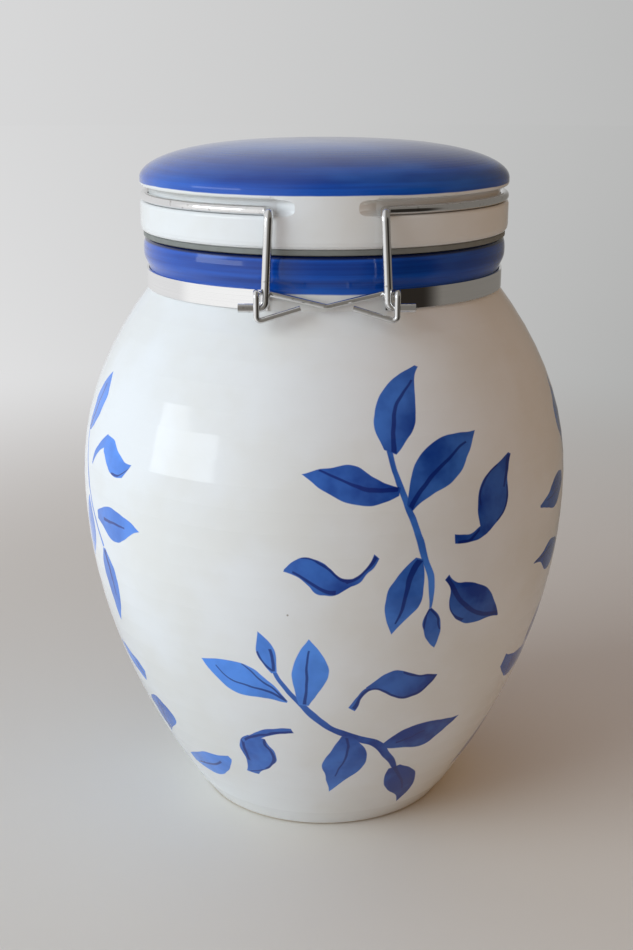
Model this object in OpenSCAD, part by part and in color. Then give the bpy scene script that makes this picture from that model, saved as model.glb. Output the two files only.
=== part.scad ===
// Ceramic food canister with a wire bail, a gasketed domed lid and a swing latch.
// Millimetres. The jar stands on z = 0 with its axis on Z; the latch faces -Y.

/* [Jar] */
// widest radius of the belly
belly_r = 95.8; // [70:0.1:130]
// height of the widest circle above the table
belly_z = 133.4; // [80:0.1:180]
// radius of the foot, where the belly curve ends
foot_r = 50.6; // [35:0.1:80]
// how square the lower belly curve is
low_power = 2.0; // [1.5:0.01:3]
// how square the shoulder curve is
high_power = 2.1; // [1.5:0.01:3]
// radius of the straight neck under the band
neck_r = 67.5; // [50:0.1:100]
// height at which the shoulder meets the neck
neck_z = 208.9; // [150:0.1:280]
// how far the rounded rim ring swells beyond the neck
rim_swell = 1.9; // [0.5:0.1:8]
// height of the rim ring above the neck
rim_h = 11.8; // [6:0.1:20]
// thickness of the ceramic wall, measured level
wall = 6.0; // [4:0.1:12]
// thickness of the floor
floor_t = 8.0; // [4:0.1:14]
// width of the unglazed standing ring
foot_ring_w = 6.0; // [3:0.1:15]
// depth of the recess inside the standing ring
foot_recess = 2.2; // [0.5:0.1:6]
// thickness of the ceramic at the neck
neck_wall = 5.0; // [3:0.1:12]

/* [Lid] */
// how far the lid's side stands out beyond the rim ring
lid_over = 0.9; // [0.2:0.1:6]
// height of the upright side of the lid
lid_side_h = 19.6; // [10:0.1:40]
// rise of the dome above the side
dome_h = 13.3; // [4:0.1:40]
// how flat the middle of the dome is
dome_power = 2.9; // [1.5:0.01:5]
// how steeply the dome meets the side
dome_edge = 0.52; // [0.3:0.01:1.2]
// thickness of the lid
lid_wall = 6.0; // [4:0.1:12]
// gap all round between the plug's upper end and the mouth
plug_gap = 1.5; // [1:0.1:4]
// how much narrower the plug is at its lower end
plug_taper = 0.8; // [0:0.1:4]
// depth of the plug below the lid's edge
plug_depth = 9.0; // [4:0.1:20]
// height of the hollow's upright side above the lid's edge
hollow_h = 11.0; // [4:0.1:20]
// height of the groove for the bail wire
groove_h = 5.4; // [3:0.1:10]
// height of the groove's lower lip above the lid's edge
groove_z = 11.3; // [5:0.1:30]
// radius of the groove's rounded lips
groove_lip = 1.3; // [0.2:0.1:1.5]
// angle at which the groove runs out of the lid at the front
run_out = 23; // [10:0.5:40]

/* [Gasket] */
// thickness of the squeezed gasket
gasket_t = 2.0; // [1:0.1:5]
// gap between the gasket and the jar's rim
seat_gap = 0.15; // [0:0.01:0.3]
// how far the gasket stays inside the rim's largest radius
gasket_inset = 0.1; // [0:0.1:3]
// gap between the gasket and the plug
gasket_fit = 0.1; // [0:0.01:0.3]

/* [Neck band] */
// thickness of the steel strip
strip_t = 0.8; // [0.4:0.1:2]
// width of the strip
strip_w = 7.0; // [4:0.1:12]
// gap between the strip and the neck
strip_fit = 0.2; // [0:0.01:0.3]
// free height of the neck above the strip, and below it
strip_play = 0.2; // [0.05:0.05:3]
// length of the rolled eye at each front end
eye_len = 3.0; // [2:0.1:8]
// how far an eye's bore reaches above the strip's upper edge
eye_up = 0.1; // [0:0.05:1]
// height of the tab that joins an eye to the strip
tab_h = 2.6; // [2:0.1:6]
// how far the strip's end stays back from the eye's inner end
strip_back = 0.8; // [0:0.1:1.5]

/* [Bail wire] */
// diameter of the bail wire
bail_d = 3.2; // [2:0.1:6]
// centre-line radius of the tight bends
bail_bend = 2.4; // [1.7:0.1:6]
// gap between the bail wire and the groove's floor and lip
bail_fit = 0.1; // [0:0.01:0.3]
// length of the straight wire between the groove and the first bend
lead = 3.4; // [2.5:0.1:6]
// distance of each front leg from the middle, at the top
leg_top_x = 19.6; // [10:0.1:35]
// distance of each front leg from the middle, at the foot
leg_foot_x = 21.2; // [10:0.1:35]
// how far the front legs stand off the lid's side
leg_gap = 2.6; // [0.5:0.1:8]
// how far each leg's top bend lies below the middle of the groove
leg_drop = 0.4; // [0:0.1:3]
// length of each foot, from the leg's middle to its cut end
foot_len = 9.2; // [5:0.1:16]
// how far the top of each foot lies below the eyes
foot_drop = 0.6; // [0.3:0.1:4]

/* [Latch wire] */
// diameter of the latch wire
latch_d = 2.1; // [1:0.1:3]
// centre-line radius of the latch wire's bends
latch_bend = 1.5; // [1.1:0.05:4]
// running clearance around the latch wire in its eyes
latch_run = 0.08; // [0.02:0.01:0.1]
// gap between each hook and the bail foot behind it
hook_gap = 0.4; // [0.3:0.05:2]
// gap between each hook and the bail leg beside it
hook_side = 0.45; // [0.3:0.05:3]
// how far each hook rises from the hinge line to its top bend
hook_rise = 1.9; // [0.5:0.1:4]
// height of each hook, from its top bend to its bottom bend
hook_h = 10.3; // [6:0.1:16]
// how far each hook leans towards the middle
hook_lean = 0.3; // [0:0.1:2]
// how far the middle of the V hangs below the hinge
v_drop = 4.1; // [2:0.1:10]
// gap between the middle of the V and the neck
v_gap = 0.9; // [0.3:0.1:3]
// length of each lower arm, measured across the front
arm_len = 15.0; // [6:0.1:20]
// how far each lower arm rises to its free end
arm_rise = 4.2; // [0:0.1:10]
// how far each lower arm leans back towards the neck
arm_lean = 2.2; // [0:0.1:4]

/* [Rear hinge] */
// how far the hinge axis lies below the top of the rim
hinge_drop = 6.1; // [3:0.1:12]
// distance of each rear upright of the bail from the middle
upright_x = 14.0; // [8:0.1:25]
// half length of the rolled knuckle
knuckle_half = 9.5; // [4:0.1:16]
// thickness of the hinge plate
plate_t = 1.0; // [0.6:0.1:2]
// least gap between the hinge plate and the rim ring
plate_gap = 0.3; // [0.3:0.05:3]
// gap between the rear uprights and the widest part of the lid
upright_gap = 0.58; // [0.3:0.01:4]
// how far the plate's lower edge lies above the strip's
plate_inset = 0.3; // [0:0.1:2]
// running clearance around the bail wire in the knuckle
hinge_run = 0.08; // [0.02:0.01:0.1]

/* [Node] */
// sub-part to draw

/* [Hidden] */

$fn = 96;
WIRE_FN = 32;
CURVE_STEPS = 26;
eps = 0.01;

rim_r = neck_r + rim_swell;
mouth_r = neck_r - neck_wall;
lid_r = rim_r + lid_over;
plug_r = mouth_r - plug_gap;
strip_z = neck_z + strip_play;
rim_z = strip_z + strip_w + strip_play;        // the rim ring starts to swell here
rim_top = rim_z + rim_h;                       // the surface that the gasket lies on
lid_z = rim_top + seat_gap + gasket_t;         // the lid's lower edge
lid_side_top = lid_z + lid_side_h;
lid_top = lid_side_top + dome_h;
groove_floor = groove_z + lid_z;
ring_r = lid_r - bail_d / 2;                   // centre line of the bail in its groove
ring_z = groove_floor + bail_fit + bail_d / 2;
groove_r = ring_r - bail_d / 2 - bail_fit;
strip_in = neck_r + strip_fit;
strip_out = strip_in + strip_t;
leg_y = -(sqrt(lid_r * lid_r - leg_top_x * leg_top_x) + leg_gap + bail_d / 2);

// the latch hinge: both eyes lie on one line across the front
eye_in = latch_d / 2 + latch_run;
eye_out = eye_in + strip_t;
latch_z = strip_z + strip_w + eye_up - eye_in;
hook_x = leg_foot_x + bail_d / 2 + hook_side + latch_d / 2;
eye_x1 = hook_x - 1.1 * latch_bend;            // outer end of an eye, clear of the wire's bend
eye_x0 = eye_x1 - eye_len;
latch_y = -(sqrt(strip_out * strip_out - pow((eye_x0 + eye_x1) / 2, 2)) + eye_out + 0.1);
foot_z = latch_z - eye_out - foot_drop - bail_d / 2;
hook_y = leg_y - bail_d / 2 - hook_gap - latch_d / 2;
hook_top = latch_z + hook_rise;
hook_bottom = hook_top - hook_h;
v_y = -(neck_r + v_gap + latch_d / 2);

// the rear hinge
hinge_z = rim_top - hinge_drop;
knuckle_in = bail_d / 2 + hinge_run;
knuckle_out = knuckle_in + plate_t;
hinge_y = max(lid_r + upright_gap + bail_d / 2, rim_r + plate_gap + knuckle_out);
plate_y = hinge_y - knuckle_out;

// ---- shared helpers ----

swell = 0.03;  // how much thicker a bend is than the straight wire
bury = 0.1;    // how far a straight piece reaches into the bend it joins

function unit(v) = v / norm(v);

// A point at distance r from the axis and angle a from the front, positive to the right.
function around(r, a, z) = [r * sin(a), -r * cos(a), z];

// One corner of a bent wire, as [centre, start direction, travel direction, angle, trim].
function corner(a, b, c, rad) =
    let (
        u = unit(b - a),
        v = unit(c - b),
        turn = acos(max(-1, min(1, u * v))),
        trim = rad * tan(turn / 2),
        start = b - u * trim,
        inward = unit(v - u * (u * v)),
        centre = start + inward * rad
    )
    [centre, -inward, u, turn, trim];

// A straight piece of round wire from a to b.
module rod(a, b, d) {
    v = b - a;
    len = norm(v);
    bend = acos(v[2] / len);
    heading = atan2(v[1], v[0]);
    translate(a)
        rotate([0, bend, heading])
            cylinder(h = len, d = d, $fn = WIRE_FN);
}

// The round bend that joins two straight pieces of wire. Its tube is a hair thicker than
// the straight wire, as a bend swells, and takes the straight piece's end inside it.
module elbow(k, rad, d) {
    e = k[1];
    u = k[2];
    n = cross(e, u);
    c = k[0];
    multmatrix([
        [e[0], u[0], n[0], c[0]],
        [e[1], u[1], n[1], c[1]],
        [e[2], u[2], n[2], c[2]],
        [0, 0, 0, 1]
    ])
        rotate_extrude(angle = k[3], $fn = 2 * WIRE_FN)
            translate([rad, 0])
                circle(d = d + swell, $fn = WIRE_FN);
}

// Round wire of diameter d along a list of points, bent at radius rad at every corner.
module bent_wire(points, rad, d) {
    n = len(points);
    corners = [
        for (i = [1 : n - 2])
            corner(points[i - 1], points[i], points[i + 1], rad)
    ];
    for (i = [0 : n - 2]) {
        way = unit(points[i + 1] - points[i]);
        from = points[i] + way * (i == 0 ? 0 : corners[i - 1][4] - bury);
        to = points[i + 1] - way * (i == n - 2 ? 0 : corners[i][4] - bury);
        rod(from, to, d);
    }
    for (k = corners)
        elbow(k, rad, d);
}

// ---- jar ----

function belly(z) =
    z < belly_z
        ? foot_r + (belly_r - foot_r) * (1 - pow((belly_z - z) / belly_z, low_power))
        : neck_r + (belly_r - neck_r)
            * (1 - pow((z - belly_z) / (neck_z - belly_z), high_power));

// Outer curve from the foot to the neck, leaving out both ends.
belly_curve = [
    for (i = [1 : CURVE_STEPS - 1])
        let (z = neck_z * i / CURVE_STEPS)
            [belly(z), z]
];

inner_top = neck_z - 5;
inner_curve = [
    for (i = [0 : CURVE_STEPS])
        let (z = inner_top - (inner_top - floor_t - 6) * i / CURVE_STEPS)
            [belly(z) - wall, z]
];

// The rim ring swells out of the neck in a soft double curve.
rim_curve = [
    for (i = [0 : 8])
        let (t = i / 8)
            [neck_r + rim_swell * pow(sin(90 * t), 1.5), rim_z + 0.5 * rim_h * t]
];

module jar_profile() {
    floor_r = belly(floor_t + 6) - wall;
    polygon(concat(
        [
            [0, foot_recess],
            [foot_r - foot_ring_w - foot_recess, foot_recess],
            [foot_r - foot_ring_w, 0],
            [foot_r - 1.2, 0],
            [foot_r - 0.2, 0.5]
        ],
        belly_curve,
        [
            [neck_r, neck_z]
        ],
        rim_curve,
        [
            [rim_r, rim_z + 0.66 * rim_h],
            [rim_r - 0.15, rim_z + 0.80 * rim_h],
            [rim_r - 0.5, rim_z + 0.91 * rim_h],
            [rim_r - 1.1, rim_z + 0.98 * rim_h],
            [rim_r - 1.8, rim_top],
            [mouth_r + 1.6, rim_top],
            [mouth_r + 0.7, rim_top - 0.25],
            [mouth_r + 0.15, rim_top - 0.85],
            [mouth_r, rim_top - 1.6],
            [mouth_r, neck_z - 2]
        ],
        inner_curve,
        [
            [floor_r - 1.6, floor_t + 3.0],
            [floor_r - 4.2, floor_t + 1.0],
            [floor_r - 8.0, floor_t],
            [0, floor_t]
        ]
    ));
}

module jar_body() {
    color([0.93, 0.92, 0.88])
        rotate_extrude($fn = 2 * $fn)
            jar_profile();
}

// ---- lid ----

// A dome's edge, from its side at radius r and height z to its middle. The points crowd
// where it curves most.
function dome_curve(r, z, rise) = [
    for (i = [1 : CURVE_STEPS])
        let (s = 1 - pow(i / CURVE_STEPS, 2.2))
            [s * r, z + rise * pow(1 - pow(s, dome_power), dome_edge)]
];

function reverse(list) = [for (i = [len(list) - 1 : -1 : 0]) list[i]];

module lid_profile() {
    hollow_r = plug_r - lid_wall;
    hollow_z = lid_z + hollow_h;
    hollow_rise = lid_top - lid_wall - hollow_z;
    polygon(concat(
        [
            [hollow_r - plug_taper, lid_z - plug_depth + 1.5],
            [hollow_r + 1.2 - plug_taper, lid_z - plug_depth],
            [plug_r - 1.2 - plug_taper, lid_z - plug_depth],
            [plug_r - plug_taper, lid_z - plug_depth + 1.2],
            [plug_r, lid_z - gasket_t],
            [plug_r, lid_z],
            [lid_r - 1.5, lid_z],
            [lid_r - 0.75, lid_z + 0.35],
            [lid_r - 0.25, lid_z + 1.1],
            [lid_r, lid_z + 2.4],
            [lid_r, lid_side_top]
        ],
        dome_curve(lid_r, lid_side_top, dome_h),
        reverse(dome_curve(hollow_r, hollow_z, hollow_rise)),
        [[hollow_r, hollow_z]]
    ));
}

// Points on an arc round c, from angle a0 to angle a1.
function arc(c, r, a0, a1) = [
    for (i = [0 : 4])
        let (a = a0 + (a1 - a0) * i / 4)
            c + r * [cos(a), sin(a)]
];

// Section of the groove: rounded at its floor and at both lips, and open outwards.
module groove_section(depth) {
    fillet = bail_d / 2 + bail_fit;
    lip = groove_lip;
    polygon(concat(
        arc([fillet, fillet], fillet, 180, 270),
        arc([depth - lip, -lip], lip, 90, 0),
        [[depth + 6, -lip], [depth + 6, groove_h + lip]],
        arc([depth - lip, groove_h + lip], lip, 0, -90),
        arc([fillet, groove_h - fillet], fillet, 90, 180)
    ));
}

// The groove goes round the lid and runs out at the front, between the bail's legs.
module lid_groove() {
    depth = lid_r - groove_r;
    open_a = asin(leg_top_x / ring_r) - 2;
    run_len = sqrt(lid_r * lid_r - groove_r * groove_r) + 2;
    translate([0, 0, groove_floor]) {
        rotate([0, 0, -90 + open_a])
            rotate_extrude(angle = 360 - 2 * open_a)
                translate([groove_r, 0])
                    groove_section(depth);
        for (side = [-1, 1])
            mirror([side < 0 ? 1 : 0, 0, 0])
                rotate([0, 0, -90 + open_a])
                    translate([groove_r, eps, 0])
                        rotate([90, 0, run_out])
                            linear_extrude(height = run_len)
                                groove_section(depth);
    }
}

module lid() {
    color([0.16, 0.30, 0.66])
        difference() {
            rotate_extrude($fn = 2 * $fn)
                lid_profile();
            lid_groove();
        }
}

// ---- gasket ----

module gasket() {
    r_in = plug_r + gasket_fit;
    r_out = rim_r - gasket_inset;
    color([0.62, 0.63, 0.61])
        translate([0, 0, rim_top + seat_gap])
            rotate_extrude($fn = 2 * $fn)
                polygon([
                    [r_in, 0],
                    [r_out - 0.3, 0],
                    [r_out, 0.3],
                    [r_out, gasket_t - 0.3],
                    [r_out - 0.3, gasket_t],
                    [r_in, gasket_t]
                ]);
}

// ---- neck band ----

// A rolled eye on the line of the latch hinge, open below at the back of its roll.
module latch_eye() {
    mid = (eye_x0 + eye_x1) / 2;
    translate([eye_x0, latch_y, latch_z])
        rotate([0, 90, 0])
            difference() {
                cylinder(h = eye_len, r = eye_out, $fn = 48);
                translate([0, 0, -1])
                    cylinder(h = eye_len + 2, r = eye_in, $fn = 48);
            }
    difference() {
        translate([eye_x0, latch_y + eye_in, latch_z - tab_h])
            cube([eye_len, eye_out + 2 * strip_t, tab_h]);
        cylinder(h = 600, r = strip_out - 0.1, $fn = 2 * $fn);
    }
}

module neck_band() {
    open_a = asin((eye_x0 + strip_back) / strip_out);
    color([0.80, 0.81, 0.83]) {
        translate([0, 0, strip_z])
            rotate([0, 0, -90 + open_a])
                rotate_extrude(angle = 360 - 2 * open_a, $fn = 2 * $fn)
                    translate([strip_in, 0])
                        square([strip_t, strip_w]);
        for (side = [0, 1])
            mirror([side, 0, 0])
                latch_eye();
    }
}

// ---- rear hinge bracket ----

// A plate spot-welded to the band; its upper edge is rolled into a knuckle for the bail.
module hinge_bracket() {
    w = 2 * knuckle_half;
    seat = strip_out + 0.02;
    low = strip_z + plate_inset;
    color([0.72, 0.73, 0.75])
        difference() {
            union() {
                translate([-knuckle_half, 0, low])
                    cube([w, plate_y + plate_t, strip_w]);
                translate([-knuckle_half, plate_y, low])
                    cube([w, plate_t, hinge_z - low]);
                translate([-knuckle_half, hinge_y, hinge_z])
                    rotate([0, 90, 0])
                        cylinder(h = w, r = knuckle_out, $fn = 64);
            }
            translate([0, 0, -eps])
                cylinder(h = 600, r = seat, $fn = 2 * $fn);
            translate([-knuckle_half - 1, hinge_y, hinge_z])
                rotate([0, 90, 0])
                    cylinder(h = w + 2, r = knuckle_in, $fn = 64);
            // the lower part follows the band and is no thicker than the plate
            difference() {
                translate([-knuckle_half - 1, 0, low - plate_t])
                    cube([w + 2, 2 * plate_y, strip_w]);
                translate([0, 0, -1])
                    cylinder(h = 600, r = seat + plate_t, $fn = 2 * $fn);
            }
        }
}

// ---- bail wire ----

// Angle at which the ring ends, so that its straight lead reaches distance x from the middle.
function ring_end(x) = asin(x / norm([ring_r, lead])) + atan2(lead, ring_r);

// The ring's half on the right, from its front end to its rear end.
module bail_ring(front_a, back_a) {
    translate([0, 0, ring_z])
        rotate([0, 0, front_a - 90])
            rotate_extrude(angle = 180 - front_a - back_a, $fn = 2 * $fn)
                translate([ring_r, 0])
                    circle(d = bail_d + swell, $fn = WIRE_FN);
}

// A front leg: out of the groove, down past the rim and out to the foot.
module bail_leg(front_a) {
    knee = norm([ring_r, lead]);
    knee_a = front_a - atan2(lead, ring_r);
    bent_wire([
        around(ring_r, front_a, ring_z) - bury * [-cos(front_a), -sin(front_a), 0],
        around(knee, knee_a, ring_z),
        [leg_top_x, leg_y, ring_z - leg_drop],
        [leg_foot_x, leg_y, foot_z],
        [leg_foot_x + foot_len, leg_y, foot_z]
    ], bail_bend, bail_d);
}

// The rear loop: out of the groove on both sides and down to the cross bar in the knuckle.
module bail_loop(back_a) {
    knee = norm([ring_r, lead]);
    knee_a = 180 - back_a + atan2(lead, ring_r);
    tip = around(ring_r, 180 - back_a, ring_z) - bury * [-cos(back_a), sin(back_a), 0];
    side = [
        tip,
        around(knee, knee_a, ring_z),
        [upright_x, hinge_y, ring_z],
        [upright_x, hinge_y, hinge_z]
    ];
    other = [for (p = reverse(side)) [-p[0], p[1], p[2]]];
    bent_wire(concat(side, other), bail_bend, bail_d);
}

module bail_wire() {
    front_a = ring_end(leg_top_x);
    back_a = ring_end(upright_x);
    color([0.78, 0.79, 0.81]) {
        for (side = [0, 1])
            mirror([side, 0, 0]) {
                bail_ring(front_a, back_a);
                bail_leg(front_a);
            }
        bail_loop(back_a);
    }
}

// ---- latch wire ----

module latch_wire() {
    v = [0, v_y, latch_z - v_drop];
    right = [
        [eye_x0 - 0.5, latch_y, latch_z],
        [hook_x, latch_y, latch_z],
        [hook_x - hook_lean, hook_y, hook_top],
        [hook_x - hook_lean, hook_y, hook_bottom],
        [hook_x - hook_lean - arm_len, hook_y + arm_lean, hook_bottom + arm_rise]
    ];
    left = [for (p = reverse(right)) [-p[0], p[1], p[2]]];
    color([0.80, 0.80, 0.82])
        bent_wire(concat(left, [v], right), latch_bend, latch_d);
}

jar_body();
lid();
gasket();
neck_band();
hinge_bracket();
bail_wire();
latch_wire();
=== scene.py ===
"""Looks of a glazed ceramic canister with a wire bail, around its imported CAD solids."""
import math

import bpy
from mathutils import Matrix, Vector

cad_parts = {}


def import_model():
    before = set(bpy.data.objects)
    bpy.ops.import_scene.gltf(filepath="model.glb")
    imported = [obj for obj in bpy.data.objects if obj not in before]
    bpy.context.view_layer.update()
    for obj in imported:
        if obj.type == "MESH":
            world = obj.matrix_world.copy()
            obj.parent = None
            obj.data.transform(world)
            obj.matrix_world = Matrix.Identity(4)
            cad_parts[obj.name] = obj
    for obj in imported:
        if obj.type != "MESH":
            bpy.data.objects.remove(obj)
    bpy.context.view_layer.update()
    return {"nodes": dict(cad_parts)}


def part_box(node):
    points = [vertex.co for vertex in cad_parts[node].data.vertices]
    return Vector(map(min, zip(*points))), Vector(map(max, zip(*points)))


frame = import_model()

MM = 0.001

# ---- places on the object, in metres ----

JAR_LOW, JAR_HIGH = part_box("jar_body")
BELLY_R = (JAR_HIGH.x - JAR_LOW.x) / 2
BELLY_Z = 133.4 * MM                    # these six are the body curve, as the solid has it
FOOT_R = 50.6 * MM
NECK_R = 67.5 * MM
NECK_Z = 208.9 * MM
FOOT_POWER = 2.0
NECK_POWER = 2.1
RIM_BLUE_Z = 214.7 * MM                 # lower edge of the blue glaze on the rim ring
RIM_BLUE_R = 66.5 * MM                  # the blue stops here, on top of the rim
GASKET_SHADOW_Z = 227.0 * MM                     # above this the rim's blue is darkened by painted shadow, where the gasket sits on it
DOME_BLUE_Z = 248.4 * MM                # lower edge of the blue glaze on the lid
LID_HOLLOW_R = 57.5 * MM                # the lid's white hollow lies within this radius
LID_HOLLOW_Z = 258.0 * MM               # and below this height


def body_radius(z):
    """Radius of the jar's outer curve at height z."""
    if z < BELLY_Z:
        return FOOT_R + (BELLY_R - FOOT_R) * (1 - ((BELLY_Z - z) / BELLY_Z) ** FOOT_POWER)
    return NECK_R + (BELLY_R - NECK_R) * (1 - ((z - BELLY_Z) / (NECK_Z - BELLY_Z)) ** NECK_POWER)


# ---- node trees in short lines ----

class Graph:
    """Adds nodes to one tree. A value is a number, a colour or another node's output."""

    def __init__(self, tree):
        self.tree = tree

    def put(self, socket, value):
        if isinstance(value, bpy.types.NodeSocket):
            self.tree.links.new(value, socket)
        elif value is not None:
            socket.default_value = value

    def node(self, kind, **settings):
        made = self.tree.nodes.new(kind)
        for name, value in settings.items():
            setattr(made, name, value)
        return made

    def math(self, operation, *values, clamp=False):
        made = self.node("ShaderNodeMath", operation=operation, use_clamp=clamp)
        for socket, value in zip(made.inputs, values):
            self.put(socket, value)
        return made.outputs[0]

    def least(self, *values):
        found = values[0]
        for value in values[1:]:
            found = self.math("MINIMUM", found, value)
        return found

    def step(self, value, low, high, to_low=0.0, to_high=1.0):
        """A smooth step from to_low at low up to to_high at high."""
        made = self.node("ShaderNodeMapRange", interpolation_type="SMOOTHSTEP")
        for socket, v in zip(made.inputs, (value, low, high, to_low, to_high)):
            self.put(socket, v)
        return made.outputs[0]

    def mix(self, share, first, second):
        """A colour between first and second."""
        made = self.node("ShaderNodeMix", data_type="RGBA")
        self.put(made.inputs[0], share)
        self.put(made.inputs[6], first)
        self.put(made.inputs[7], second)
        return made.outputs[2]

    def blend(self, share, first, second):
        """A number between first and second."""
        made = self.node("ShaderNodeMix", data_type="FLOAT")
        self.put(made.inputs[0], share)
        self.put(made.inputs[2], first)
        self.put(made.inputs[3], second)
        return made.outputs[0]

    def noise(self, place, scale, detail=3.0, rough=0.5):
        made = self.node("ShaderNodeTexNoise")
        self.put(made.inputs["Vector"], place)
        self.put(made.inputs["Scale"], scale)
        self.put(made.inputs["Detail"], detail)
        self.put(made.inputs["Roughness"], rough)
        return made.outputs["Fac"]

    def stretch(self, place, x, y, z):
        made = self.node("ShaderNodeMapping")
        self.put(made.inputs["Vector"], place)
        made.inputs["Scale"].default_value = (x, y, z)
        return made.outputs[0]

    def vector(self, operation, first, second=None):
        made = self.node("ShaderNodeVectorMath", operation=operation)
        self.put(made.inputs[0], first)
        self.put(made.inputs[1], second)
        number = operation in ("DOT_PRODUCT", "LENGTH")
        return made.outputs["Value" if number else "Vector"]

    def parts(self, place):
        made = self.node("ShaderNodeSeparateXYZ")
        self.put(made.inputs[0], place)
        return made.outputs

    def radius(self, x, y):
        """How far a place is from the jar's axis."""
        squares = self.math("ADD", self.math("MULTIPLY", x, x), self.math("MULTIPLY", y, y))
        return self.math("SQRT", squares)

    def waver(self, place, size):
        """A slow noise from minus to plus half the size, for an edge drawn by hand."""
        return self.math("MULTIPLY", self.math("SUBTRACT", self.noise(place, 45, 2), 0.5), size)

    def point(self, x, y, z):
        made = self.node("ShaderNodeCombineXYZ")
        for socket, value in zip(made.inputs, (x, y, z)):
            self.put(socket, value)
        return made.outputs[0]

    def bump(self, height, strength, distance):
        made = self.node("ShaderNodeBump")
        self.put(made.inputs["Height"], height)
        made.inputs["Strength"].default_value = strength
        made.inputs["Distance"].default_value = distance
        return made.outputs[0]

    def curve(self, value, heights):
        """A smooth curve through evenly spaced heights, for a value from 0 to 1."""
        made = self.node("ShaderNodeFloatCurve")
        points = made.mapping.curves[0].points
        points[0].location = (0.0, heights[0])
        points[1].location = (1.0, heights[-1])
        for i, height in enumerate(heights[1:-1], 1):
            points.new(i / (len(heights) - 1), height)
        made.mapping.extend = "HORIZONTAL"
        made.mapping.update()
        self.put(made.inputs["Value"], value)
        return made.outputs[0]


def srgb(r, g, b):
    """A colour given in 0 to 255 as linear red, green, blue and alpha."""
    def linear(v):
        v /= 255
        return v / 12.92 if v <= 0.04045 else ((v + 0.055) / 1.055) ** 2.4
    return (linear(r), linear(g), linear(b), 1.0)


def material(name, paint, **settings):
    """A principled material. paint(graph, place) gives the links: base colour, roughness, normal."""
    made = bpy.data.materials.new(name)
    made.use_nodes = True
    graph = Graph(made.node_tree)
    shader = made.node_tree.nodes["Principled BSDF"]
    for socket, value in settings.items():
        shader.inputs[socket].default_value = value
    place = graph.node("ShaderNodeTexCoord").outputs["Object"]
    for socket, value in paint(graph, place).items():
        graph.put(shader.inputs[socket], value)
    return made


def dress(node, made):
    """Gives a CAD node its material."""
    slots = frame["nodes"][node].data.materials
    slots.clear()
    slots.append(made)


# ---- painted leaves ----
# A mark lies between two places on the jar, each given as degrees round from the front and
# millimetres above the table. Its edges are given as millimetres to the left and the right
# of the straight line from its base to its tip, at even steps along it. Its dark lines run
# from one share of its length to another, through a middle given in the same way.
# Most numbers of the marks that the photograph shows weren't chosen by hand: outline points were
# read by eye off the photograph, and a scratch script worked out the degrees and millimetres from
# them.

HALF_TURN = 180            # the painting has two halves, which are the same
SEAM_HIGH = -42            # where the halves meet, in the bare strip between the sprigs
SEAM_LOW = -54.5           # and lower down, where a leaf hangs in that strip
SEAM_STEP_Z = 38 * MM      # the height at which it steps from one to the other
PAINT_TURN = -0.75         # how far the painting is turned from the latch
REACH = 20 * MM            # no mark is wider than this to either side
HAND_WAVER = 1.6 * MM      # how much a mark's edge strays


def line(start, end, middle, first, last):
    """A dark line: where it starts and ends, its middle, and its two widths in millimetres."""
    return dict(start=start, end=end, middle=middle, first=first, last=last)


def leaf(base, tip, left, right, *lines, tone=0.4, fade=0.0, split=0.0):
    """A mark. Its tone goes from deep blue, 0, to pale, 1. It grows by fade towards the tip,
    and by split from right to left."""
    return dict(base=base, tip=tip, left=left, right=right, lines=lines,
                tone=tone, fade=fade, split=split)


UPPER_SPRIG = [
    leaf((14.1, 165.5), (23.6, 107), (1, 0.5, 1.5, 2.5, 3, 3.5, 0.5),
         (-1, -1.5, -1, 0, 0.5, 1, -0.5), tone=0.35, fade=0.35),
    leaf((14.7, 164.5), (23.5, 191), (3, 8, 10, 10, 8.5, 5.5, 0.8), (-1.5, -3.5, -5, -4, -2, -0.5, -0.6),
         line(0.01, 0.83, (-0.5, 2, 3.5, 2.5, 0.5), 2.0, 0.8), tone=0.24, fade=0.15, split=0.6),
    leaf((16.0, 151.5), (-4.6, 158), (2, 6.5, 7, 4.5, 0), (-1, -2.5, -6, -3.5, 0),
         line(0.02, 0.84, (-0.5, 1, 1, -1, -2), 1.8, 0.7), tone=0.20, fade=0.1, split=0.2),
    leaf((18.2, 145), (35.8, 168.5), (1.8, 8.5, 10.5, 7, 0), (-1.2, -2.5, -5.5, -3.5, 0),
         line(0.01, 0.84, (0, 2, 2, 1.5, 0.5), 2.1, 0.7), tone=0.25, fade=0.1, split=-0.4),
    leaf((20.7, 126.5), (14.9, 98), (1, 4, 6, 3.5, 0), (-2, -6, -7.5, -5.5, 0),
         line(0.02, 0.86, (0, -1.5, -1, 0, 0), 2.6, 0.7), tone=0.28, fade=0.4),
    leaf((23.6, 107), (25.8, 90), (0.5, 3, 3.5, 2.5, 0), (-0.5, -3.5, -3.5, -2.5, 0),
         line(0.02, 0.60, (0, 1.5, 2.5, 2.5, 3), 1.1, 0.7),
         line(0.02, 0.45, (0, -2, -2.5, -3, -3.5), 1.1, 0.7), tone=0.40),
]

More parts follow.
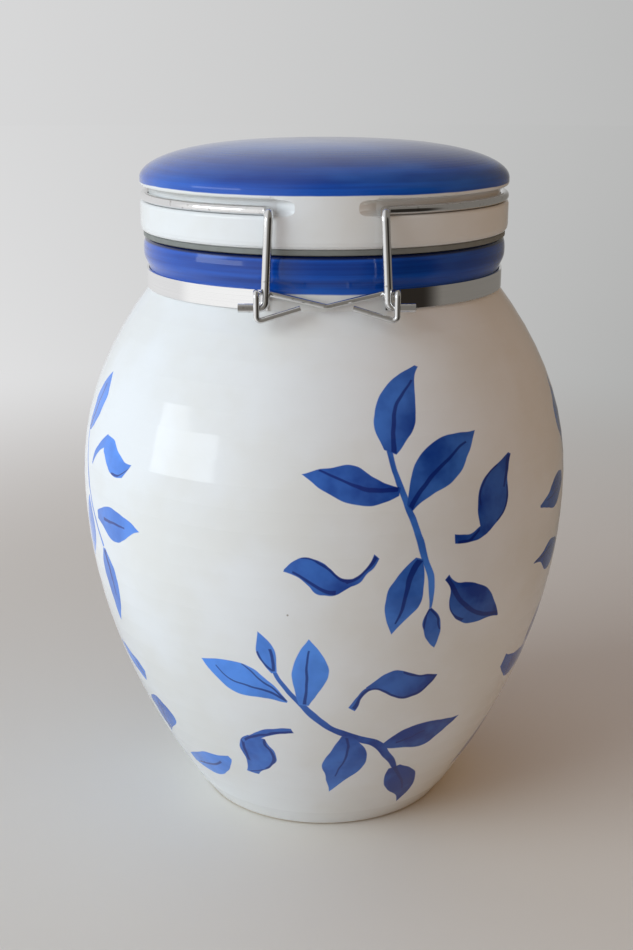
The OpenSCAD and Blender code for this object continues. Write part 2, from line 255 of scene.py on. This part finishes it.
LOWER_SPRIG = [
    leaf((-12.0, 84), (23.1, 33), (1, -0.5, -0.5, -0.5, 1, 4, 7, 4.5, 1),
         (-0.5, -2.5, -3, -3.5, -2, 0.5, 3, 1, -1), tone=0.32, fade=-0.3),
    leaf((-11.5, 82), (-14.4, 99.5), (1, 2.5, 3.5, 2, 0), (-1, -2.5, -3.5, -2.5, 0),
         line(0.04, 0.57, (0, 1.5, 2.5, 3, 3), 1.1, 0.9),
         line(0.04, 0.59, (0, -1, -1.5, -2, -2), 1.2, 1.0), tone=0.65, fade=0.2),
    leaf((-9.0, 69.5), (-29.6, 84), (0.5, 2.5, 6, 4.5, 0), (-0.5, -6, -8.5, -6, 0),
         line(0.01, 0.83, (-0.5, -1.5, 0, 1.5, -1), 1.2, 0.5),
         line(0.04, 0.60, (-1, -3.5, -5, -7, -8), 1.0, 0.5), tone=0.75, fade=0.3),
    leaf((-4.7, 68.5), (-3.3, 97.5), (2, 4, 5, 3.5, 0), (-1.5, -5.5, -8, -6, 0),
         line(0.02, 0.84, (0, -0.5, -0.5, 0, -0.5), 1.3, 0.7), tone=0.60, fade=0.5),
    leaf((6.4, 53), (1.7, 22.5), (2, 9, 9.5, 5, 0), (-2, -4.5, -6, -2.5, 0),
         line(0.03, 0.70, (0, 1.5, 2, 1, 0.5), 1.2, 0.6), tone=0.22, fade=0.3),
    leaf((16.8, 47), (40.7, 52.5), (1, 6, 6.5, 3.5, 0), (-1.5, -5, -7.5, -4, 0),
         line(0.15, 0.53, (-0.5, -0.5, 0, 1, 1.5), 0.9, 0.6), tone=0.06),
    leaf((22.9, 33.5), (30.7, 9.5), (2.5, 7.5, 8.5, 6.5, 0), (-2.5, -5, -4, -1, 0),
         line(0.0, 0.67, (0, 1, 2, 2.5, 2.5), 1.7, 0.7), tone=0.02),
]

LOOSE_LEAVES = [
    # most have a stalk that curls away, with a blunt end, here and there as a mark of its own
    leaf((36.1, 131.5), (45.2, 158), (0.5, 4.5, 7, 9, 9.5, 8.5, 6.5, 3.5, 0.5),
         (-1, -3, -5, -6, -5.5, -3.5, -1.5, -1, -1),
         line(0.28, 0.81, (6, 8.5, 8.5, 7.5, 5), 0.7, 1.2),
         line(0.21, 0.64, (-4, -5.5, -5.5, -4.5, -2.5), 1.1, 0.8),
         line(0.60, 0.98, (-1.5, -1, -0.5, 0, 0), 0.8, 1.9), tone=0.12),
    leaf((28.7, 132.5), (37.1, 133.5), (1.5, 0.5, 0, 1.5, 2.5), (-2, -3, -3, -3, -2),
         line(0.10, 0.75, (-2.5, -2.5, -2.5, -1, 0.5), 1.9, 1.0), tone=0.15),
    leaf((27.0, 117.5), (43.9, 96.5), (1.5, 1, 3, 4.5, 5.5, 5.5, 4.5, 2.5, 0),
         (-1, -2.5, -7.5, -9.5, -10, -9, -6, -2.5, -0.5),
         line(0.01, 0.97, (0, -2.5, -4, -3, 0.5), 2.0, 1.6),
         line(0.13, 0.53, (-3, -7, -9, -9.5, -9), 0.9, 1.4), tone=0.10, split=-0.5),
    leaf((6.5, 120), (-8.3, 124), (1.5, 4, 6, 6.5, 6.5, 4, 2, 1, 0.5),
         (-1, -0.5, -1.5, -4, -6, -6.5, -6.5, -4.5, -0.5),
         line(0.01, 0.81, (0, 0, -1.5, -4, -5.5, -6.5, -6), 1.5, 1.0),
         line(0.23, 0.88, (5, 5, 3.5, 1.5, 0), 1.6, 0.8), tone=0.24, fade=0.1),
    leaf((11.0, 129), (4.9, 118.5), (1.3, 2, 2, 2.5, 1), (-1.3, 0, 0.5, 0, -1.5),
         line(0.02, 0.96, (0, 0.5, 0.5, 0.5, -1), 1.4, 1.5), tone=0.24),
    leaf((10.1, 74.5), (28.1, 77.5), (1.5, 4.5, 6.5, 7.5, 6.5, 4.5, 2.5, 1.5, 0),
         (-1, 0, -2, -5, -7, -7, -6.5, -4, -0.5),
         line(0.01, 0.98, (-0.5, 0, -1.5, -4.5, -6.5, -6.5, -6, -4, -0.5), 1.5, 1.3),
         line(0.50, 0.96, (6, 4, 2.5, 1.5, 0.5), 1.1, 1.5), tone=0.34, fade=-0.2),
    leaf((6.8, 66.5), (11.1, 75.5), (1.5, 2, 2, 2, 1), (-1.5, -1, 0, 0, -1),
         line(0.06, 0.98, (-0.5, 0, 0.5, 0.5, -0.5), 1.8, 1.4), tone=0.34),
    leaf((-19.8, 50.5), (-22.9, 29.5), (5, 6.5, 8.5, 9, 9, 7.5, 6, 3.5, 2),
         (-1.5, -4.5, -5.5, -5.5, -4.5, -3, -2.5, -2.5, -3),
         line(0.0, 0.78, (5, 5, 7, 8, 8, 7, 5), 1.2, 1.5),
         line(0.10, 0.66, (-4, -4, -3.5, -2.5, -1.5), 1.4, 1.1),
         line(0.78, 0.98, (6, 4, 2.5, 0.5, -1.5), 1.2, 1.0), tone=0.42),
    leaf((-8.0, 55.5), (-23.7, 49), (1, 0.5, 0, 0, 0.5, 1.5, 2, 2, 2.5),
         (-1.5, -2.5, -3, -3.5, -3.5, -2.5, -1, 0, 1),
         line(0.0, 0.94, (0.5, 0, -0.5, -1, -0.5, -0.5, 0, 0.5, 1.5), 1.5, 1.2), tone=0.42),
    leaf((-29.8, 34.5), (-52.6, 25.5), (0, 4.5, 7, 8.5, 8.5, 6.5, 3), (-2, -2.5, -3.5, -4.5, -3.5, -2.5, -1),
         line(0.27, 0.88, (1, 2.5, 3, 3, 3), 1.2, 0.9), tone=0.75),
]

SIDE_SPRIGS = [
    # two upper sprigs
    leaf((79.5, 152), (82, 108), (1, -0.5, -2, -1, 1), (-1, -3, -4, -3, -0.5), tone=0.35),
    leaf((78.5, 150), (80, 176), (1.5, 6, 9, 8.5, 6, 3, 0), (-1.5, -4, -5, -5, -3.5, -1.5, 0),
         line(0.02, 0.8, (0, 1, 1.5, 1, 0), 1.4, 0.5), tone=0.30, fade=0.2),
    leaf((74, 138), (57, 133.5), (2, 5.5, 6.5, 3.5, 0.5), (-3, -5, -4.5, -2, -0.5),
         line(0.02, 0.8, (0, 1, 1, 0.5, 0), 1.2, 0.5), tone=0.20),
    leaf((79.5, 135), (98, 150), (1, 7, 8, 5, 0), (-1, -4, -5, -3, 0),
         line(0.02, 0.8, (0, 1.5, 1.5, 1, 0), 1.3, 0.5), tone=0.45),
    leaf((74, 110.5), (56.5, 111), (2, 6.5, 6.5, 1.5, 0), (-2, -5, -5.5, -3, -0.5),
         line(0.3, 0.95, (-2, -2.5, -1.5, -1, 0), 0.7, 1.6), tone=0.15),
    leaf((82, 108), (85, 91), (0.5, 3, 3.5, 2.5, 0), (-0.5, -3, -3.5, -2.5, 0),
         line(0.02, 0.6, (0, 1.5, 2.5, 2.5, 3), 1.0, 0.5), tone=0.45),
    leaf((105.5, 157), (118.8, 115.5), (0.5, -1, -2, -1.5, 0.5), (-0.5, -2.5, -3.5, -3, -1), tone=0.75),
    leaf((105.5, 156.5), (112.5, 180), (1, 1.5, 2.5, 4, 3.5, 2.5, 0.5), (-1, -5, -6.5, -7, -7, -5, 0),
         line(0.02, 0.8, (-1, -1.5, -1.5, -1, 0), 1.3, 0.5), tone=0.75, fade=0.1),
    leaf((116.7, 128), (136, 129), (1, 3.5, 5, 5, 4, 2.5, 0), (-2.5, -4, -7, -7.5, -5.5, -2, 0),
         line(0.20, 0.72, (-0.5, -0.5, -0.5), 1.3, 0.6), tone=0.70),
    leaf((110.1, 132), (105.6, 104), (0, 4.5, 8, 8.5, 7, 3.5, 0), (-1, -3, -4.5, -4, -2, 0, 0), tone=0.75),
    leaf((101, 141), (90, 123), (1, 4.5, 6, 3.5, 0), (-1, -4, -5, -3, 0),
         line(0.02, 0.8, (0, -1, -1, -0.5, 0), 1.2, 0.5), tone=0.60),
    leaf((118.8, 115), (119.7, 85), (1.5, 5.5, 7.5, 7.5, 6, 3.5, 0), (-1, -3, -4, -3, -2, -1, 0),
         line(0.02, 0.62, (0.5, 1.5, 2.5, 3, 3), 2.0, 0.6), tone=0.60, fade=0.1),
    # a loose leaf with its stalk
    leaf((113.2, 145.5), (121.2, 159.5), (0.7, 2.5, 2.5, 2, 0.5), (-0.3, 0.5, 0, -2, -3), tone=0.80),
    leaf((121.0, 159.5), (129.5, 147), (0, 2, 3.5, 3.5, 3.5, 4, 4.5, 5.5, 8),
         (0, -5.5, -6, -6.5, -6.5, -6.5, -5.5, -3.5, 0),
         line(0.69, 1.0, (-6, -4.5, -3, -0.5, 6), 1.2, 1.5), tone=0.85),
    # the lower sprig
    leaf((73.5, 88), (104, 36), (1, 4, 6, 4, 1), (-1, 1.5, 3.5, 1, -1), tone=0.30),
    leaf((72.5, 88), (66, 70), (1, 4, 4.5, 3, 0), (-1, -3, -4, -3, 0),
         line(0.02, 0.6, (0, 1, 1.5, 1, 0), 1.0, 0.5), tone=0.25),
    leaf((70, 66), (53, 71), (3, 6.5, 8.5, 6, 2), (-3, -4, -3.5, -3, -4),
         line(0.05, 0.7, (0, 1, 1, 0.5, 0), 0.8, 0.5), tone=0.20),
    leaf((84, 68), (94, 96), (2, 5, 6.5, 5, 0), (-2, -5, -6, -4, 0),
         line(0.02, 0.8, (0, 1, 1, 0.5, 0), 1.2, 0.5), tone=0.45, fade=0.3),
    leaf((90, 52), (82, 24), (2, 7, 8, 5, 0), (-2, -5, -6, -3, 0),
         line(0.02, 0.8, (0, 1, 1.5, 1, 0), 1.0, 0.5), tone=0.45, fade=0.2),
    leaf((124.4, 53), (120.3, 33.5), (3, 8.5, 10, 8, 5, 2, 0), (0, -6, -7.5, -6, -4, -2, 0),
         line(0.1, 0.95, (0, 0.5, 0.5, 0, 0), 0.6, 1.0), tone=0.50),
    leaf((104, 36), (110, 13), (2.5, 6, 7, 5, 0), (-2.5, -5, -5, -2, 0),
         line(0.0, 0.6, (0, 1, 1.5, 2, 2), 1.2, 0.5), tone=0.50),
    leaf((67, 42), (55, 18), (1, 4, 5, 3, 0), (-1, -2, -2.5, -1.5, 0),
         line(0.05, 0.7, (0, 0.5, 1, 0.5, 0), 0.8, 0.4), tone=0.20),
    leaf((111, 71), (122.8, 61), (1, 4, 5, 6, 5), (-1, -2, -3, -2.5, -2),
         line(0.5, 1.0, (4, 3.5, 3, 2, 0), 0.6, 1.2), tone=0.80),
]

MARKS = UPPER_SPRIG + LOWER_SPRIG + LOOSE_LEAVES + SIDE_SPRIGS


def on_jar(angle, height):
    """A point on the jar's outside, with the outward direction there."""
    a, z = math.radians(angle), height * MM
    round_jar = Vector((math.sin(a), -math.cos(a), 0))
    slope = (body_radius(z + MM / 2) - body_radius(z - MM / 2)) / MM
    outward = (round_jar - Vector((0, 0, slope))).normalized()
    return round_jar * body_radius(z) + Vector((0, 0, z)), outward


def mark_frame(base, tip):
    """The frame of a mark: its corner, its turn as an Euler, and its length."""
    start = on_jar(*base)[0]
    along = on_jar(*tip)[0] - start
    length = along.length
    along.normalize()
    outward = on_jar((base[0] + tip[0]) / 2, (base[1] + tip[1]) / 2)[1]
    across = outward.cross(along).normalized()
    turn = Matrix((along, across, along.cross(across))).transposed()
    return start - across * REACH, turn.to_euler(), length


def share(offset):
    """An offset in millimetres as a share of the frame's width, 0.5 in the middle."""
    return 0.5 + offset * MM / (2 * REACH)


def group(name, inputs, outputs):
    """An empty node group with number sockets, its graph, its inputs and its outputs."""
    tree = bpy.data.node_groups.new(name, "ShaderNodeTree")
    for socket in inputs:
        tree.interface.new_socket(socket, in_out="INPUT", socket_type="NodeSocketFloat")
    for socket in outputs:
        tree.interface.new_socket(socket, in_out="OUTPUT", socket_type="NodeSocketFloat")
    g = Graph(tree)
    return tree, g, g.node("NodeGroupInput").outputs, g.node("NodeGroupOutput").inputs


SOFT = 0.2 * MM / (2 * REACH)           # how soft the edge of a mark is, as a share of the frame


def shape_group():
    """How much of a mark covers a place, from its two edges."""
    tree, g, given, out = group("brush_shape", ("U", "V", "W", "Left", "Right", "Length"), ("Fill",))
    from_base = g.math("MULTIPLY", given["U"], given["Length"])
    depth = g.least(
        g.math("SUBTRACT", given["Left"], given["V"]),
        g.math("SUBTRACT", given["V"], given["Right"]),
        from_base,
        g.math("SUBTRACT", given["Length"], from_base),
        g.math("ADD", given["W"], 1.0),          # leaves out the far side of the jar
    )
    g.put(out["Fill"], g.step(depth, -SOFT, SOFT))
    return tree


def line_group():
    """A dark line. T runs from 0 to 1 along it."""
    tree, g, given, out = group("brush_line", ("T", "V", "Middle", "First", "Last", "Length"),
                                ("Line",))
    half = g.blend(given["T"], given["First"], given["Last"])
    away = g.math("ABSOLUTE", g.math("SUBTRACT", given["V"], given["Middle"]))
    end = g.math("MULTIPLY", g.least(given["T"], g.math("SUBTRACT", 1.0, given["T"])),
                 given["Length"])
    depth = g.least(g.math("SUBTRACT", half, away), end)
    g.put(out["Line"], g.step(depth, -SOFT, SOFT))
    return tree


def over_group():
    """Lays one mark over those before it."""
    names = ("Fill", "Dark", "Tone")
    tree, g, given, out = group("brush_over", names + ("Shape", "Lines", "U", "V", "Own", "Fade",
                                                       "Split"), names)
    shape = given["Shape"]
    own = g.math("MULTIPLY_ADD", given["U"], given["Fade"], given["Own"])
    own = g.math("MULTIPLY_ADD", g.math("SUBTRACT", given["V"], 0.5), given["Split"], own)
    g.put(out["Fill"], g.math("MAXIMUM", given["Fill"], shape))
    g.put(out["Dark"], g.blend(shape, given["Dark"], given["Lines"]))
    g.put(out["Tone"], g.blend(shape, given["Tone"], own))
    return tree


def painted_marks(g, place):
    """Fill, dark and tone of all the marks, on both halves of the jar."""
    x, y, z = g.parts(place)
    turn = math.radians(HALF_TURN)
    seam = g.step(z, SEAM_STEP_Z - MM, SEAM_STEP_Z + MM,
                  math.radians(SEAM_LOW), math.radians(SEAM_HIGH))
    angle = g.math("SUBTRACT", g.math("ARCTAN2", x, g.math("MULTIPLY", y, -1.0)),
                   math.radians(PAINT_TURN))
    folded = g.math("ADD", g.math("FLOORED_MODULO", g.math("SUBTRACT", angle, seam), turn), seam)
    radius = g.radius(x, y)
    fold = g.point(g.math("MULTIPLY", radius, g.math("SINE", folded)),
                   g.math("MULTIPLY", radius, g.math("MULTIPLY", g.math("COSINE", folded), -1.0)),
                   z)
    # the hand that painted them wavers a little
    waver = g.node("ShaderNodeTexNoise")
    g.put(waver.inputs["Vector"], place)
    waver.inputs["Scale"].default_value = 110
    waver.inputs["Detail"].default_value = 1
    shift = g.vector("SUBTRACT", waver.outputs["Color"], (0.5, 0.5, 0.5))
    moved = g.vector("ADD", fold, g.vector("MULTIPLY", shift, (HAND_WAVER,) * 3))
    shapes, strokes, over = shape_group(), line_group(), over_group()
    # Every node comes after those that it reads: Cycles keeps few values at a time.
    fill, dark, tone = 0.0, 0.0, 0.5
    for m in MARKS:
        corner, euler, length = mark_frame(m["base"], m["tip"])
        to_mark = g.node("ShaderNodeMapping", vector_type="TEXTURE")
        g.put(to_mark.inputs["Vector"], moved)
        to_mark.inputs["Location"].default_value = corner
        to_mark.inputs["Rotation"].default_value = euler
        to_mark.inputs["Scale"].default_value = (length, 2 * REACH, 2 * REACH)
        u, v, w = g.parts(to_mark.outputs[0])
        long = length / (2 * REACH)
        left = g.curve(u, [share(offset) for offset in m["left"]])
        right = g.curve(u, [share(offset) for offset in m["right"]])
        shape = g.node("ShaderNodeGroup", node_tree=shapes)
        for name, value in zip(("U", "V", "W", "Left", "Right", "Length"),
                               (u, v, w, left, right, long)):
            g.put(shape.inputs[name], value)
        lines = 0.0
        for given in m["lines"]:
            span = given["end"] - given["start"]
            t = g.math("MULTIPLY_ADD", u, 1 / span, -given["start"] / span)
            middle = g.curve(t, [share(offset) for offset in given["middle"]])
            stroke = g.node("ShaderNodeGroup", node_tree=strokes)
            widths = [given[k] * MM / (4 * REACH) for k in ("first", "last")]
            for name, value in zip(("T", "V", "Middle", "First", "Last", "Length"),
                                   (t, v, middle, *widths, long * span)):
                g.put(stroke.inputs[name], value)
            lines = stroke.outputs[0] if lines == 0.0 else g.math("MAXIMUM", lines,
                                                                  stroke.outputs[0])
        laid = g.node("ShaderNodeGroup", node_tree=over)
        values = dict(Fill=fill, Dark=dark, Tone=tone, Shape=shape.outputs[0], Lines=lines, U=u,
                      V=v, Own=m["tone"], Fade=m["fade"], Split=m["split"])
        for name, value in values.items():
            g.put(laid.inputs[name], value)
        fill, dark, tone = (laid.outputs[n] for n in ("Fill", "Dark", "Tone"))
    return fill, dark, tone


# ---- materials ----

WHITE = srgb(231, 232, 232)
WHITE_THIN = srgb(226, 225, 221)
BISQUE = srgb(205, 188, 160)
LEAF_PALE = srgb(84, 146, 238)
LEAF_DEEP = srgb(8, 52, 140)
LINE = srgb(8, 30, 112)
COBALT = srgb(20, 85, 186)
COBALT_DEEP = srgb(10, 56, 140)
COBALT_PALE = srgb(58, 129, 222)
# painted shadow: the dark navy at the rim's top, under the gasket
GASKET_SHADOW_NAVY = srgb(8, 24, 70)
SPECK = srgb(120, 104, 84)


def white_glaze(g, place):
    """Creamy white glaze with a soft mottle and a few fine specks."""
    white = g.mix(g.step(g.noise(place, 28, 4), 0.35, 0.7), WHITE, WHITE_THIN)
    dots = g.node("ShaderNodeTexVoronoi", feature="F1")
    g.put(dots.inputs["Vector"], place)
    dots.inputs["Scale"].default_value = 75
    speck = g.step(dots.outputs["Distance"], 0.045, 0.02)
    rare = g.math("GREATER_THAN", g.parts(dots.outputs["Color"])[0], 0.93)
    return g.mix(g.math("MULTIPLY", g.math("MULTIPLY", speck, rare), 0.75), white, SPECK)


def blue_glaze(g, place):
    """Cobalt laid on with a brush while the piece turned, so that its streaks are level."""
    streaks = g.noise(g.stretch(place, 7, 7, 330), 1.0, 4, 0.55)
    clouds = g.noise(g.stretch(place, 16, 16, 60), 1.0, 3)
    blue = g.mix(g.step(streaks, 0.30, 0.72), COBALT_DEEP, COBALT)
    return g.mix(g.math("MULTIPLY", g.step(clouds, 0.48, 0.80), 0.5), blue, COBALT_PALE)


def glaze_relief(g, place):
    """The slow waves of a thick glaze."""
    return g.bump(g.noise(place, 35, 2), 0.12, 1.2 * MM)


def jar_paint(g, place):
    x, y, z = g.parts(place)
    radius = g.radius(x, y)
    fill, dark, tone = painted_marks(g, place)
    wash = g.noise(place, 75, 3, 0.55)
    shade = g.math("ADD", tone, g.step(wash, 0.3, 0.7, -0.16, 0.16), clamp=True)
    leaf_blue = g.mix(shade, LEAF_DEEP, LEAF_PALE)
    leaf_blue = g.mix(g.math("MULTIPLY", dark, 0.82), leaf_blue, LINE)
    base = g.mix(fill, white_glaze(g, place), leaf_blue)
    waver = g.waver(place, 1.2 * MM)
    rim = g.math("MULTIPLY", g.step(g.math("ADD", z, waver), RIM_BLUE_Z - 0.3 * MM,
                                    RIM_BLUE_Z + 0.3 * MM),
                 g.math("GREATER_THAN", radius, RIM_BLUE_R))
    # painted shadow: the rim's blue turns dark navy at its top, under the gasket
    blue = g.mix(g.step(z, GASKET_SHADOW_Z - 0.5 * MM, GASKET_SHADOW_Z + 0.3 * MM), blue_glaze(g, place), GASKET_SHADOW_NAVY)
    base = g.mix(rim, base, blue)
    foot = g.step(z, 0.9 * MM, 0.5 * MM)
    base = g.mix(foot, base, BISQUE)
    rough = g.math("ADD", g.step(g.noise(place, 120, 3), 0.3, 0.8, 0.07, 0.12),
                   g.math("MULTIPLY", foot, 0.6))
    return {"Base Color": base, "Roughness": rough, "Normal": glaze_relief(g, place)}


def lid_paint(g, place):
    x, y, z = g.parts(place)
    radius = g.radius(x, y)
    waver = g.waver(place, 0.8 * MM)
    blue = g.step(g.math("ADD", z, waver), DOME_BLUE_Z - 0.2 * MM, DOME_BLUE_Z + 0.2 * MM)
    outside = g.math("MAXIMUM", g.math("GREATER_THAN", radius, LID_HOLLOW_R),
                     g.math("GREATER_THAN", z, LID_HOLLOW_Z))
    blue = g.math("MULTIPLY", blue, outside)
    base = g.mix(blue, white_glaze(g, place), blue_glaze(g, place))
    return {"Base Color": base, "Roughness": g.step(g.noise(place, 120, 3), 0.3, 0.8, 0.07, 0.12),
            "Normal": glaze_relief(g, place)}


def silicone_paint(g, place):
    base = g.mix(g.noise(place, 150, 4), srgb(134, 136, 131), srgb(112, 114, 109))
    return {"Base Color": base, "Roughness": g.step(g.noise(place, 300, 3), 0.3, 0.7, 0.45, 0.6),
            "Normal": g.bump(g.noise(place, 900, 3), 0.15, 0.1 * MM)}


def strip_paint(g, place):
    """Polished strip with fine level rolling lines."""
    lines = g.noise(g.stretch(place, 20, 20, 4000), 1.0, 4)
    base = g.mix(lines, srgb(246, 246, 246), srgb(230, 230, 230))
    return {"Base Color": base, "Roughness": g.step(lines, 0.3, 0.7, 0.03, 0.08),
            "Normal": g.bump(lines, 0.02, 0.05 * MM)}


def wire_paint(g, place):
    """Bright drawn wire with a few small dull spots."""
    spots = g.noise(place, 500, 4, 0.6)
    base = g.mix(g.step(spots, 0.58, 0.78), srgb(228, 228, 228), srgb(176, 173, 168))
    return {"Base Color": base, "Roughness": g.step(spots, 0.5, 0.78, 0.05, 0.22),
            "Normal": g.bump(spots, 0.03, 0.05 * MM)}


glossy = {"IOR": 1.5}
metal = {"Metallic": 1.0}
dress("jar_body", material("jar_glaze", jar_paint, **glossy))
dress("lid", material("lid_glaze", lid_paint, **glossy))
dress("gasket", material("gasket_silicone", silicone_paint, IOR=1.43))
dress("neck_band", material("band_steel", strip_paint, **metal))
dress("hinge_bracket", material("bracket_steel", strip_paint, **metal))
dress("bail_wire", material("bail_steel", wire_paint, **metal))
dress("latch_wire", material("latch_steel", wire_paint, **metal))


# ---- stage, light and camera ----

BACKDROP_LEFT = srgb(234, 234, 235)
BACKDROP_RIGHT = srgb(154, 155, 153)
WINDOW_WAY = (-0.93, -0.37, 0.0)        # towards the window
UNLIT_WAY = (0.97, -0.26, 0.0)          # the middle of the unlit side of the room
DARK_WAY = (0.74, -0.67, 0.0)           # the darkest corner
WINDOW_WHITE = (1.0, 1.0, 1.0, 1.0)
UNLIT_WALL = srgb(124, 120, 114)
DARK_CORNER = srgb(42, 38, 34)
ROOM_LEFT = srgb(218, 233, 254)
ROOM_RIGHT = srgb(206, 162, 110)
ROOM_STRENGTH = 0.60
LAMP_AIM = Vector((0, 0, 0.13))         # the middle of the jar
FLOOR_R = 6.0                           # metres
FLOOR_TURNS = 96
FADE_SEEN = (0.24, 0.85)                # from where to where the floor fades, in metres
FADE_MIRRORED = (0.10, 0.36)            # and the same in what gloss picks up


def backdrop(g, way, rays):
    """What lies round the object in a direction: a pale room, with a bright and an unlit side
    that only polished metal and gloss pick up."""
    colour = g.mix(g.step(g.parts(way)[0], -0.8, 0.9), BACKDROP_LEFT, BACKDROP_RIGHT)
    gloss = rays["Is Glossy Ray"]

    def side(towards, low, high, shade, before):
        near = g.step(g.vector("DOT_PRODUCT", way, towards), low, high)
        return g.mix(g.math("MULTIPLY", near, gloss), before, shade)

    colour = side(UNLIT_WAY, -0.3, 0.25, UNLIT_WALL, colour)
    colour = side(WINDOW_WAY, 0.80, 0.93, WINDOW_WHITE, colour)
    return side(DARK_WAY, 0.86, 0.97, DARK_CORNER, colour)


def seen_rays(g, rays):
    """1 for the rays that look at the backdrop and not for those that light the object."""
    seen = g.math("MAXIMUM", rays["Is Camera Ray"], rays["Is Glossy Ray"])
    return g.math("MAXIMUM", seen, rays["Is Transmission Ray"])


def floor():
    """A pale floor that fades into the backdrop, and keeps the object's shadow."""
    angles = [2 * math.pi * i / FLOOR_TURNS for i in range(FLOOR_TURNS)]
    ring = [(FLOOR_R * math.cos(a), FLOOR_R * math.sin(a), 0) for a in angles]
    mesh = bpy.data.meshes.new("floor")
    mesh.from_pydata(ring, [], [tuple(range(FLOOR_TURNS))])
    made = bpy.data.objects.new("floor", mesh)
    bpy.context.scene.collection.objects.link(made)

    def paint(g, place):
        return {"Base Color": g.mix(g.noise(place, 6, 3), srgb(228, 224, 217), srgb(224, 220, 213))}

    stuff = material("floor", paint, Roughness=0.7)
    g = Graph(stuff.node_tree)
    place = g.node("ShaderNodeTexCoord").outputs["Object"]
    rays = g.node("ShaderNodeLightPath").outputs
    away = g.vector("LENGTH", place)
    far = g.blend(rays["Is Glossy Ray"], g.step(away, *FADE_SEEN), g.step(away, *FADE_MIRRORED))
    glow = g.node("ShaderNodeEmission")
    g.put(glow.inputs["Color"], backdrop(g, g.vector("NORMALIZE", place), rays))
    both = g.node("ShaderNodeMixShader")
    g.put(both.inputs[0], g.math("MULTIPLY", far, seen_rays(g, rays)))
    g.put(both.inputs[1], stuff.node_tree.nodes["Principled BSDF"].outputs[0])
    g.put(both.inputs[2], glow.outputs[0])
    g.put(stuff.node_tree.nodes["Material Output"].inputs["Surface"], both.outputs[0])
    mesh.materials.append(stuff)


def area_light(name, azimuth, elevation, distance, size, power, colour, mirrored=True):
    """A soft box that looks at the jar. Azimuth 0 is at the front, and grows to the right."""
    a, e = math.radians(azimuth), math.radians(elevation)
    way = Vector((math.sin(a) * math.cos(e), -math.cos(a) * math.cos(e), math.sin(e)))
    data = bpy.data.lights.new(name, "AREA")
    data.shape = "RECTANGLE"
    data.size, data.size_y = size
    data.energy = power
    data.color = colour
    made = bpy.data.objects.new(name, data)
    made.location = LAMP_AIM + way * distance
    made.rotation_euler = way.to_track_quat("Z", "Y").to_euler()
    made.visible_glossy = mirrored
    bpy.context.scene.collection.objects.link(made)


def world():
    """Soft light from all round, cool from the left and warmer and weaker from the right."""
    made = bpy.data.worlds.new("room")
    bpy.context.scene.world = made
    made.use_nodes = True
    g = Graph(made.node_tree)
    background = made.node_tree.nodes["Background"]
    way = g.node("ShaderNodeTexCoord").outputs["Generated"]
    rays = g.node("ShaderNodeLightPath").outputs
    room = g.mix(g.step(g.parts(way)[0], -0.9, 0.9), ROOM_LEFT, ROOM_RIGHT)
    seen = seen_rays(g, rays)
    g.put(background.inputs["Color"], g.mix(seen, room, backdrop(g, way, rays)))
    g.put(background.inputs["Strength"], g.blend(seen, ROOM_STRENGTH, 1.0))


CAMERA_TURN = -0.75        # degrees round the jar, to the latch's left
CAMERA_BACK = 550.2 * MM
CAMERA_UP = 293.4 * MM
CAMERA_DOWN = 16.52        # degrees
CAMERA_ASIDE = 0.31        # degrees that it looks to the left of the jar's axis
CAMERA_LENS = 53.5         # millimetres, on a film 36 mm high


def camera():
    data = bpy.data.cameras.new("camera")
    data.sensor_width, data.lens = 36, CAMERA_LENS
    made = bpy.data.objects.new("camera", data)
    a = math.radians(CAMERA_TURN)
    made.location = (math.sin(a) * CAMERA_BACK, -math.cos(a) * CAMERA_BACK, CAMERA_UP)
    made.rotation_euler = (math.radians(90 - CAMERA_DOWN), 0, a + math.radians(CAMERA_ASIDE))
    bpy.context.scene.collection.objects.link(made)
    bpy.context.scene.camera = made


bpy.context.scene.view_settings.view_transform = "Standard"
floor()
world()
area_light("soft light", -60, 24, 1.7, (1.3, 1.3), 18, (0.83, 0.935, 1.0), mirrored=False)
area_light("window", -68, 10, 1.7, (1.05, 0.6), 4, (0.88, 0.95, 1.0))
camera()
